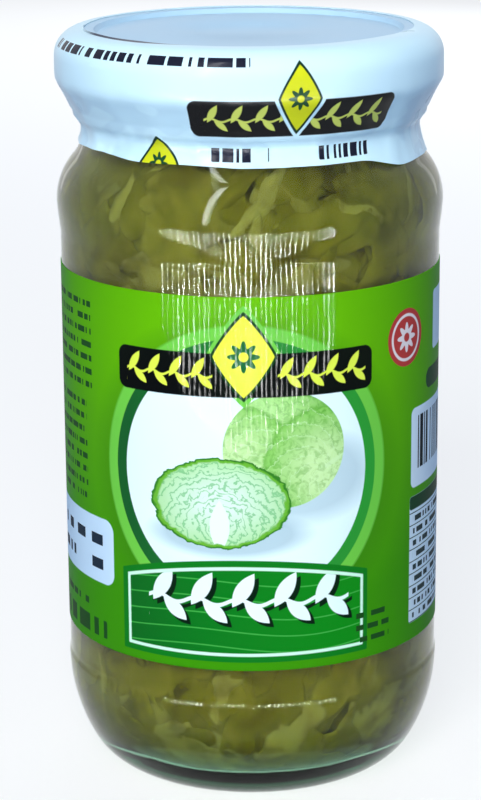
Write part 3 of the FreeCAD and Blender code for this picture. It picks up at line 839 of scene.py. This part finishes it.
def labelFinish(radius):
    f = Print("printedPaper", radius)
    away = f.calc("ABSOLUTE", f.angle)
    middle = f.length(f.calc("MULTIPLY", f.across, 0.7), f.offset(f.up, 84))
    colour = f.blend(f.remap(middle, 4, 48), srgb(106, 187, 2), srgb(58, 147, 6))
    # towards the sides, away from the front, the green is painted bluer: painted cool shade
    colour = f.blend(f.remap(away, 1.15, 1.75), colour, srgb(58, 150, 60))
    glow = f.disc(-1.2, 60.4, 27.5, soft=5.0)
    colour = f.blend(f.calc("MULTIPLY", glow, 0.45), colour, srgb(40, 110, 18))
    colour = f.blend(f.disc(-1.2, 61.0, 25.7, soft=0.5), colour, srgb(112, 202, 70))
    dark = f.blend(f.remap(f.across, -22, 22), srgb(20, 92, 40), srgb(44, 156, 52))
    colour = f.blend(f.disc(-1.2, 61.0, 23.6), colour, dark)
    disc = f.disc(-1.2, 61.0, 21.5)
    picture = paintVegetables(f, srgb(232, 254, 254))
    colour = f.blend(disc, colour, picture)
    banner = f.box(-24.0, 21.6, 74.5, 81.9, 1.6)
    vine = f.either(
        f.garland(-22.2, -6.4, 78.1, 3.95, 2.1, 0.7), f.garland(4.4, 20.2, 78.1, 3.95, 2.1, 0.7)
    )
    colour = f.blend(f.lozenge(-1.2, 81.4, 6.3, 8.6), colour, srgb(112, 202, 70))
    colour = f.blend(banner, colour, srgb(3, 7, 8))
    colour = f.blend(f.both(vine, banner), colour, srgb(225, 240, 78))
    colour = f.blend(f.lozenge(-1.2, 81.4, 5.6, 7.6), colour, srgb(10, 60, 26))
    colour = f.blend(f.lozenge(-1.2, 81.4, 5.1, 6.9), colour, srgb(232, 244, 62))
    colour = f.blend(f.rosette(-1.2, 81.4, 2.7), colour, srgb(20, 104, 44))
    colour = paintPlate(f, colour)
    colour = paintSides(f, colour)
    place = f.objectPlace()
    fibre = f.noise(place, 900, 2)
    cloud = f.noise(place, 60, 3)
    colour = f.blend(f.calc("MULTIPLY", f.remap(cloud, 0.35, 0.7), 0.04), colour, srgb(60, 90, 40))
    streak = f.noise(f.stretched(place, 1, 1, 0.04), 650, 2)
    f.dress(Base_Color=colour, Roughness=0.5, Coat_Weight=0.12, Coat_Roughness=0.03)
    f.dress(Normal=f.bump(fibre, 0.05, 0.02 * mm))
    f.surface.inputs["Specular IOR Level"].default_value = 0.0
    f.surface.inputs["Coat IOR"].default_value = 1.4
    f.link(f.bump(streak, 0.12, 0.03 * mm), f.surface.inputs["Coat Normal"])
    return f.material


# what fills the jar

brine = {"intoWall": 0.06 * mm, "steps": 160}


def makeBrine():
    reach = brine["intoWall"]
    grown = [(r + reach, z) for r, z in jarInside() if r > jar["floorR"] + 3 * mm]
    floor = [(r, z - reach) for r, z in jarInside() if r <= jar["floorR"] + 3 * mm]
    section = [(0, fillTop), (jar["boreR"] + reach, fillTop)] + grown + floor
    piece = turnSection("brine", section, brine["steps"])
    f = Finish("brine")
    haze = f.noise(f.objectPlace(), 30, 2)
    f.dress(Base_Color=(0.97, 0.97, 0.86, 1), Transmission_Weight=1.0, IOR=1.34, Roughness=0.0)
    f.dress(Specular_Tint=(0.05, 0.05, 0.05, 1))
    f.dress(Normal=f.bump(haze, 0.1, 0.1 * mm))
    f.letLampsThrough((0.985, 0.985, 0.95, 1))
    finishPiece(piece, "sauerkraut", f.material)
    return piece


class InnerFace:
    # the inside of the glass as a path from the middle of the floor up to the contents' top
    def __init__(self):
        section = [p for p in jarInside()[::-1]] + [(jar["boreR"], fillTop)]
        self.points = [Vector(p) for p in section]
        self.marks = [0.0]
        for a, b in zip(self.points, self.points[1:]):
            self.marks.append(self.marks[-1] + (b - a).length)
        self.length = self.marks[-1]

    def at(self, mark):
        # radius, height and the inward direction at a distance along the path
        mark = min(max(mark, 0.0), self.length * 0.9999)
        low, high = 0, len(self.marks) - 1
        while high - low > 1:
            middle = (low + high) // 2
            if self.marks[middle] <= mark:
                low = middle
            else:
                high = middle
        a, b = self.points[low], self.points[high]
        way = (b - a).normalized()
        spot = a + way * (mark - self.marks[low])
        return spot.x, spot.y, Vector((-way.y, way.x))

    def markAtHeight(self, height):
        # where the wall reaches a height
        for (a, b), mark in zip(zip(self.points, self.points[1:]), self.marks):
            if b.y >= height > a.y and a.x > jar["floorR"]:
                return mark + (b - a).length * (height - a.y) / max(b.y - a.y, 1e-9)
        return self.length


shreds = {
    # length, width and thickness in millimetres, bars along and across, how far it waves
    "longShred": {"length": 27, "width": 3.2, "thick": 0.8, "along": 16, "across": 3, "wave": 0.7},
    "thinShred": {"length": 18, "width": 1.5, "thick": 0.7, "along": 12, "across": 2, "wave": 0.8},
    "broadLeaf": {"length": 21, "width": 11.5, "thick": 0.5, "along": 13, "across": 8, "wave": 0.9},
    "ribChunk": {"length": 13, "width": 6.5, "thick": 2.0, "along": 8, "across": 4, "wave": 0.3},
}
packing = [
    # kind, how many in the shoulder and in the heel and floor, nearest and furthest from the glass
    ("longShred", 60, 60, 2.6, 4.6),
    ("broadLeaf", 44, 52, 1.8, 3.4),
    ("thinShred", 30, 34, 1.2, 3.0),
    ("ribChunk", 16, 26, 0.8, 2.0),
    ("longShred", 44, 44, 0.7, 2.0),
    ("broadLeaf", 58, 70, 0.25, 1.3),
    ("thinShred", 12, 16, 0.15, 0.8),
    ("longShred", 16, 20, 0.1, 0.6),
    ("broadLeaf", 22, 28, 0.08, 0.5),
    ("ribChunk", 5, 9, 0.08, 0.4),
]


placed = [
    # kind, degrees from the front, height in millimetres, heading in degrees, size, depth, paleness
    ("longShred", 4.5, 106.8, 51, 0.62, 0.10, 1.0),
    ("longShred", -44, 105.5, 74, 0.55, 0.25, 0.9),
    ("longShred", 36, 104.0, 160, 0.50, 0.20, 0.92),
    ("broadLeaf", 12, 12.5, 62, 0.85, 0.08, 0.93),
    ("broadLeaf", 46, 17.0, 66, 0.90, 0.15, 0.88),
    ("longShred", -9, 21.5, 62, 0.42, 0.15, 0.95),
    ("ribChunk", -36, 9.5, 15, 0.50, 0.10, 0.85),
    ("broadLeaf", -24, 103.5, 100, 1.0, 0.20, 0.76),
]


def modelShred(name, kind):
    # a flat bar thinned to its edges and ends, rounded, one mesh that every copy starts from
    bpy.ops.object.select_all(action="DESELECT")
    bpy.ops.mesh.primitive_grid_add(x_subdivisions=kind["along"], y_subdivisions=kind["across"], size=1)
    piece = bpy.context.object
    piece.name = name
    only(piece)
    wall = piece.modifiers.new("body", "SOLIDIFY")
    wall.thickness = 0.1
    wall.offset = 0
    bpy.ops.object.modifier_apply(modifier=wall.name)
    for vertex in piece.data.vertices:
        u, v, w = vertex.co
        endTaper = math.sqrt(max(1 - (abs(u) * 2) ** 6, 0.02))
        plump = math.sqrt(max(1 - (abs(v) * 2) ** 2 * 0.92, 0.05))
        vertex.co = Vector((u, v * endTaper, math.copysign(0.5, w) * plump * (0.45 + 0.55 * endTaper)))
    return piece


def laidShape(source, kind, face, mark, angle, depth, rng, heading=None, size=None):
    # bends a copy along the inside of the glass; its heading and size are drawn unless given
    anyHeading = rng.uniform(0, math.pi)
    anySize = rng.uniform(0.55, 1.35)
    heading = anyHeading if heading is None else heading
    length = kind["length"] * (anySize if size is None else size) * mm
    width = kind["width"] * rng.uniform(0.65, 1.35) * mm
    thick = kind["thick"] * rng.uniform(0.7, 1.3) * mm
    curve = rng.uniform(-1, 1) * 0.9
    seed = rng.uniform(0, 100)
    points = []
    middleR = face.at(mark)[0]
    onFloor = middleR < jar["floorR"] * 0.8
    for vertex in source:
        u, v, w = vertex
        rough = noise.noise(Vector((u * 3.4, seed, 1 if v > 0 else 7))) + 0.5 * noise.noise(Vector((u * 9, seed, v)))
        wide = width * (0.72 + 0.55 * rough + 0.28 * math.cos(u * 3))
        bow = curve * length * (u * u - 0.08) * 0.6
        weave = noise.noise(Vector((u * 4, seed, 2))) * width * 0.35
        along = u * length
        side = v * wide + bow + weave
        curl = noise.noise(Vector((u * 2.6, v * 1.5 + seed, 3))) * kind["wave"] * 1.1 * mm
        dip = depth + curl + abs(u) ** 3 * endLift(seed) * mm
        dip = max(dip, 0.06 * mm + thick * 0.5) - w * thick
        dx = along * math.cos(heading) - side * math.sin(heading)
        dy = along * math.sin(heading) + side * math.cos(heading)
        if onFloor:
            x = middleR * math.sin(angle) + dx
            y = -middleR * math.cos(angle) + dy
            radius, height, inward = face.at(math.hypot(x, y))
            turn = math.atan2(x, -y)
        else:
            radius, height, inward = face.at(mark + dy)
            turn = angle + dx / max(middleR, 8 * mm)
        radius += inward.x * dip
        height += inward.y * dip
        points.append((radius * math.sin(turn), -radius * math.cos(turn), height))
    return points


def endLift(seed):
    # how far an end bends away from the glass, in millimetres
    return 6 * abs(math.sin(seed * 12.9))


def layShreds():
    face = InnerFace()
    rng = random.Random(41)
    heelEnd = face.markAtHeight(labelLow[2] + 3 * mm)
    shoulderStart = face.markAtHeight(labelHigh[2] - 4 * mm)
    shoulderEnd = face.markAtHeight(jar["neckZ"] + 1 * mm)
    batches = {}
    for kindName, upper, lower, near, far in packing:
        kind = shreds[kindName]
        model = modelShred("model", kind)
        source = [v.co.copy() for v in model.data.vertices]
        faces = [tuple(p.vertices) for p in model.data.polygons]
        flats = [(v.x + 0.5, v.y + 0.5) for v in source]
        batch = batches.setdefault(kindName, {"points": [], "faces": [], "flats": [], "tints": []})
        for index in range(upper + lower):
            if index < upper:
                mark = rng.uniform(shoulderStart, shoulderEnd)
            else:
                mark = heelEnd * math.sqrt(rng.uniform(0.0, 1.0))
            depth = rng.uniform(near, far) * mm
            points = laidShape(source, kind, face, mark, rng.uniform(-math.pi, math.pi), depth, rng)
            start = len(batch["points"])
            batch["points"] += points
            batch["faces"] += [tuple(i + start for i in item) for item in faces]
            batch["flats"] += flats
            tint = rng.uniform(0, 1)
            # the tint's second value is the depth, which darkens the piece as painted shade
            batch["tints"] += [(tint, min(depth / (5 * mm), 1.0), rng.uniform(0, 1), 1.0)] * len(points)
        bpy.data.objects.remove(model)
    for kindName, degrees, height, heading, size, depth, pale in placed:
        kind = shreds[kindName]
        model = modelShred("model", kind)
        source = [v.co.copy() for v in model.data.vertices]
        faces = [tuple(p.vertices) for p in model.data.polygons]
        batch = batches[kindName]
        start = len(batch["points"])
        mark = face.markAtHeight(height * mm)
        turns = math.radians(degrees), depth * mm, rng, math.radians(heading), size
        points = laidShape(source, kind, face, mark, *turns)
        batch["points"] += points
        batch["faces"] += [tuple(i + start for i in item) for item in faces]
        batch["flats"] += [(v.x + 0.5, v.y + 0.5) for v in source]
        batch["tints"] += [(0.8, 0.0, pale, 1.0)] * len(points)
        bpy.data.objects.remove(model)
    for kindName, batch in batches.items():
        joinShreds(kindName, batch)


def joinShreds(name, batch):
    # all copies of one kind in one piece, with their own flat map and a tint for each, which also holds the painted
    # shade of its depth
    mesh = bpy.data.meshes.new(name)
    mesh.from_pydata(batch["points"], [], batch["faces"])
    flat = mesh.uv_layers.new(name="flat")
    for loop in mesh.loops:
        flat.data[loop.index].uv = batch["flats"][loop.vertex_index]
    tint = mesh.attributes.new("tint", "FLOAT_COLOR", "POINT")
    for index, value in enumerate(batch["tints"]):
        tint.data[index].color = value
    mesh.validate()
    piece = bpy.data.objects.new(name, mesh)
    bpy.context.scene.collection.objects.link(piece)
    only(piece)
    bpy.ops.object.mode_set(mode="EDIT")
    bpy.ops.mesh.select_all(action="SELECT")
    bpy.ops.mesh.normals_make_consistent(inside=False)
    bpy.ops.object.mode_set(mode="OBJECT")
    bpy.ops.object.shade_smooth()
    finishPiece(piece, "sauerkraut", cabbageFinish(name))
    print(name, len(mesh.polygons) * 2, "triangles")


def cabbageFinish(name):
    # the mottling runs on from piece to piece, so that the soaked pieces melt into each other
    f = Finish(name)
    tint = f.add("ShaderNodeAttribute", attribute_name="tint").outputs["Color"]
    parts = f.add("ShaderNodeSeparateColor")
    f.link(tint, parts.inputs[0])
    own, depthShade, other = parts.outputs[0], parts.outputs[1], parts.outputs[2]
    flat = f.add("ShaderNodeUVMap", uv_map="flat").outputs[0]
    place = f.objectPlace()
    fibre = f.noise(f.stretched(flat, 3, 22, 1), 1.0, 3)
    blotch = f.noise(place, 105, 4, 0.6, 0.8)
    mottle = f.noise(place, 230, 2)
    colour = f.blend(own, srgb(80, 73, 7), srgb(93, 85, 16))
    pale = f.remap(other, 0.72, 1.0)
    colour = f.blend(f.calc("MULTIPLY", pale, 0.75), colour, srgb(132, 123, 64))
    colour = f.blend(f.calc("MULTIPLY", f.remap(fibre, 0.5, 0.72), 0.2), colour, srgb(114, 106, 42))
    colour = f.blend(f.calc("MULTIPLY", f.remap(blotch, 0.44, 0.62), 0.7), colour, srgb(60, 50, 0))
    colour = f.blend(f.calc("MULTIPLY", f.remap(mottle, 0.5, 0.66), 0.34), colour, srgb(114, 105, 40))
    # pieces lying deeper behind the glass are painted darker: painted shade
    colour = f.blend(f.calc("MULTIPLY", depthShade, 0.45), colour, srgb(48, 40, 0))
    f.dress(Base_Color=colour, Roughness=0.55, Normal=f.bump(fibre, 0.12, 0.1 * mm))
    f.dress(Subsurface_Weight=0.6, Subsurface_Scale=1.3 * mm, Subsurface_Radius=(1.0, 0.9, 0.4))
    f.surface.inputs["Specular IOR Level"].default_value = 0.0
    return f.material


core = {"depth": 4.0 * mm, "relief": 1.3 * mm, "steps": 150}


def makeCore():
    # the mass behind the shreds, turned from the inside of the glass, heaped and hollowed all over
    face = InnerFace()
    marks = spread(0, face.length, 110)
    section = []
    for mark in marks:
        radius, height, inward = face.at(mark)
        section.append((max(radius + inward.x * core["depth"], 0.0), height + inward.y * core["depth"]))
    section = [p for p in section if p[0] > 0.4 * mm and p[1] < fillTop - 1 * mm]
    section = [(0, section[0][1])] + section + [(0, section[-1][1])]
    piece = turnSection("packedCabbage", section, core["steps"])
    for vertex in piece.data.vertices:
        p = vertex.co / mm
        rise = noise.noise(p * 0.22) + 0.6 * noise.noise(p * 0.55) + 0.35 * noise.noise(p * 1.3)
        radius = math.hypot(p.x, p.y)
        if radius > 1:
            vertex.co += Vector((p.x / radius, p.y / radius, 0)) * rise * core["relief"]
        vertex.co.z += rise * core["relief"] * 0.6 * (1 - ease(10, 40, p.z))
    f = Finish("packedCabbage")
    place = f.objectPlace()
    mottle = f.noise(place, 160, 4, twist=0.6)
    thread = f.bands(f.stretched(place, 1, 1, 2.5), 160, 9.0)
    colour = f.blend(f.remap(mottle, 0.35, 0.65), srgb(50, 42, 2), srgb(80, 70, 10))
    colour = f.blend(f.calc("MULTIPLY", f.remap(thread, 0.6, 0.95), 0.3), colour, srgb(98, 88, 26))
    f.dress(Base_Color=colour, Roughness=0.7, Normal=f.bump(mottle, 0.5, 0.6 * mm))
    f.surface.inputs["Specular IOR Level"].default_value = 0.0
    finishPiece(piece, "sauerkraut", f.material)
    return piece


# floor, backdrop and lamps

room = {
    "floor": 3.0,
    "floorColour": (0.17, 0.25, 0.38, 1),  # what the floor throws back on the jar
    "floorShown": (0.93, 0.94, 0.95, 1),
    "ownLight": 0.72,  # how much of the shown floor is plain white near the jar
    "whiteFrom": 0.5,  # metres from the jar where it starts to turn all white
    "whiteAt": 2.4,
    "world": (0.34, 0.58, 1.0, 1),
    "worldStrength": 0.34,
}
lamps = {
    # place, width and height, watts; shine: mirrored in gloss, matt: lights plain surfaces
    "key": {"place": (-0.14, -0.90, 0.62), "size": (0.5, 0.4), "power": 13.5, "colour": (1.0, 1.0, 0.98), "shine": False},
    "rear": {"place": (0.3, 1.0, 0.35), "size": (0.8, 0.5), "power": 6.0, "colour": (0.9, 0.96, 1.0), "shine": False},
    "strip": {"place": (-0.27, -0.56, 0.50), "size": (0.05, 0.85), "power": 4.2, "colour": (1, 1, 1), "matt": False},
    "rearLeft": {"place": (-0.34, 0.62, 0.35), "size": (0.06, 0.7), "power": 0.08, "colour": (1, 1, 1), "matt": False},
    "rearRight": {"place": (0.42, 0.56, 0.35), "size": (0.06, 0.7), "power": 0.08, "colour": (1, 1, 1), "matt": False},
}
slats = {
    "place": (-0.0215, -0.20, 0.040),  # an upright card of bright slats, low in front
    "width": 0.49,
    "height": 0.050,
    "pitch": 3.3,  # degrees from slat to slat, seen from the jar
    "bright": 165.0,
}


def makeFloor():
    bpy.ops.object.select_all(action="DESELECT")
    bpy.ops.mesh.primitive_plane_add(size=room["floor"] * 2, location=(0, 0, 0))
    floor = bpy.context.object
    floor.name = "floor"
    f = Finish("paleFloor")
    path = f.add("ShaderNodeLightPath")
    seen = f.calc("MAXIMUM", path.outputs["Is Camera Ray"], path.outputs["Is Glossy Ray"])
    seen = f.calc("MAXIMUM", seen, path.outputs["Is Transmission Ray"])
    f.dress(Base_Color=f.blend(seen, room["floorColour"], room["floorShown"]), Roughness=0.9)
    f.surface.inputs["Specular IOR Level"].default_value = 0.0
    glow = f.add("ShaderNodeEmission")
    glow.inputs["Color"].default_value = (1, 1, 1, 1)
    mix = f.add("ShaderNodeMixShader")
    x, y, z = f.split(f.objectPlace())
    white = f.remap(f.length(x, y), room["whiteFrom"], room["whiteAt"], room["ownLight"], 1.0)
    f.link(f.calc("MULTIPLY", seen, white), mix.inputs[0])
    f.link(f.surface.outputs[0], mix.inputs[1])
    f.link(glow.outputs[0], mix.inputs[2])
    f.link(mix.outputs[0], f.output.inputs["Surface"])
    floor.data.materials.append(f.material)


def makeSlats():
    # bright slats that only the varnish, film and glass mirror
    bpy.ops.object.select_all(action="DESELECT")
    bpy.ops.mesh.primitive_plane_add(size=1, location=(0, 0, 0))
    card = bpy.context.object
    card.name = "slats"
    card.data.transform(Matrix.Diagonal((slats["width"], slats["height"], 1, 1)))
    card.data.transform(Matrix.Rotation(math.radians(90), 4, "X"))
    card.data.transform(Matrix.Translation(slats["place"]))
    f = Finish("slats")
    x, y, z = f.split(f.objectPlace())
    reach = -slats["place"][1] - panelR
    turn = f.calc("ARCTANGENT", f.calc("DIVIDE", x, reach))
    cell = f.calc("DIVIDE", turn, math.radians(slats["pitch"]))
    place = f.vector(f.calc("MULTIPLY", turn, 0.18), 0.0, z)
    own = f.chance(f.calc("FLOOR", cell), 2.0)
    wobble = f.noise(place, 160, 3)
    inCell = f.calc("ABSOLUTE", f.calc("SUBTRACT", f.calc("FRACT", f.calc("MULTIPLY_ADD", wobble, 0.9, cell)), 0.5))
    slat = f.calc("LESS_THAN", inCell, f.calc("MULTIPLY_ADD", own, 0.12, 0.08))
    broken = f.calc("GREATER_THAN", f.noise(place, 430, 2), 0.47)
    light = f.calc("MULTIPLY", f.calc("MULTIPLY", slat, broken), f.calc("MULTIPLY_ADD", own, 0.8, 0.3))
    glow = f.add("ShaderNodeEmission")
    glow.inputs["Strength"].default_value = slats["bright"]
    clear = f.add("ShaderNodeBsdfTransparent")
    mix = f.add("ShaderNodeMixShader")
    f.link(light, mix.inputs[0])
    f.link(clear.outputs[0], mix.inputs[1])
    f.link(glow.outputs[0], mix.inputs[2])
    f.link(mix.outputs[0], f.output.inputs["Surface"])
    card.data.materials.append(f.material)
    card.visible_camera = False
    card.visible_diffuse = False
    card.visible_transmission = False
    card.visible_shadow = False


def makeWorld():
    world = bpy.data.worlds.new("soft")
    bpy.context.scene.world = world
    world.use_nodes = True
    tree = world.node_tree
    light = tree.nodes["Background"]
    light.inputs["Color"].default_value = room["world"]
    light.inputs["Strength"].default_value = room["worldStrength"]
    white = tree.nodes.new("ShaderNodeBackground")
    white.inputs["Color"].default_value = (1, 1, 1, 1)
    path = tree.nodes.new("ShaderNodeLightPath")
    mix = tree.nodes.new("ShaderNodeMixShader")
    seen = path.outputs["Is Camera Ray"]
    for ray in ("Is Transmission Ray", "Is Glossy Ray"):
        larger = tree.nodes.new("ShaderNodeMath")
        larger.operation = "MAXIMUM"
        tree.links.new(seen, larger.inputs[0])
        tree.links.new(path.outputs[ray], larger.inputs[1])
        seen = larger.outputs[0]
    tree.links.new(seen, mix.inputs[0])
    tree.links.new(light.outputs[0], mix.inputs[1])
    tree.links.new(white.outputs[0], mix.inputs[2])
    tree.links.new(mix.outputs[0], tree.nodes["World Output"].inputs["Surface"])


def makeLamp(name, facts):
    data = bpy.data.lights.new(name, "AREA")
    data.shape = "RECTANGLE"
    data.size, data.size_y = facts["size"]
    data.energy = facts["power"]
    data.color = facts["colour"]
    lamp = bpy.data.objects.new(name, data)
    bpy.context.scene.collection.objects.link(lamp)
    place = Vector(facts["place"])
    aim = Vector((0, 0, 0.06)) - place
    lamp.matrix_world = Matrix.Translation(place) @ aim.to_track_quat("-Z", "Y").to_matrix().to_4x4()
    lamp.visible_camera = False
    lamp.visible_glossy = facts.get("shine", True)
    lamp.visible_transmission = facts.get("shine", True)
    lamp.visible_diffuse = facts.get("matt", True)


setCamera()
print("camera set")
makeGlass()
print("glass turned")
makeLid()
makeFilm()
print("lid and film made")
makeLabel()
print("label made")
makeBrine()
makeCore()
layShreds()
print("contents packed")
makeFloor()
makeWorld()
makeSlats()
for lampName, facts in lamps.items():
    makeLamp(lampName, facts)
bpy.context.scene.view_settings.view_transform = "Standard"
print("room lit")
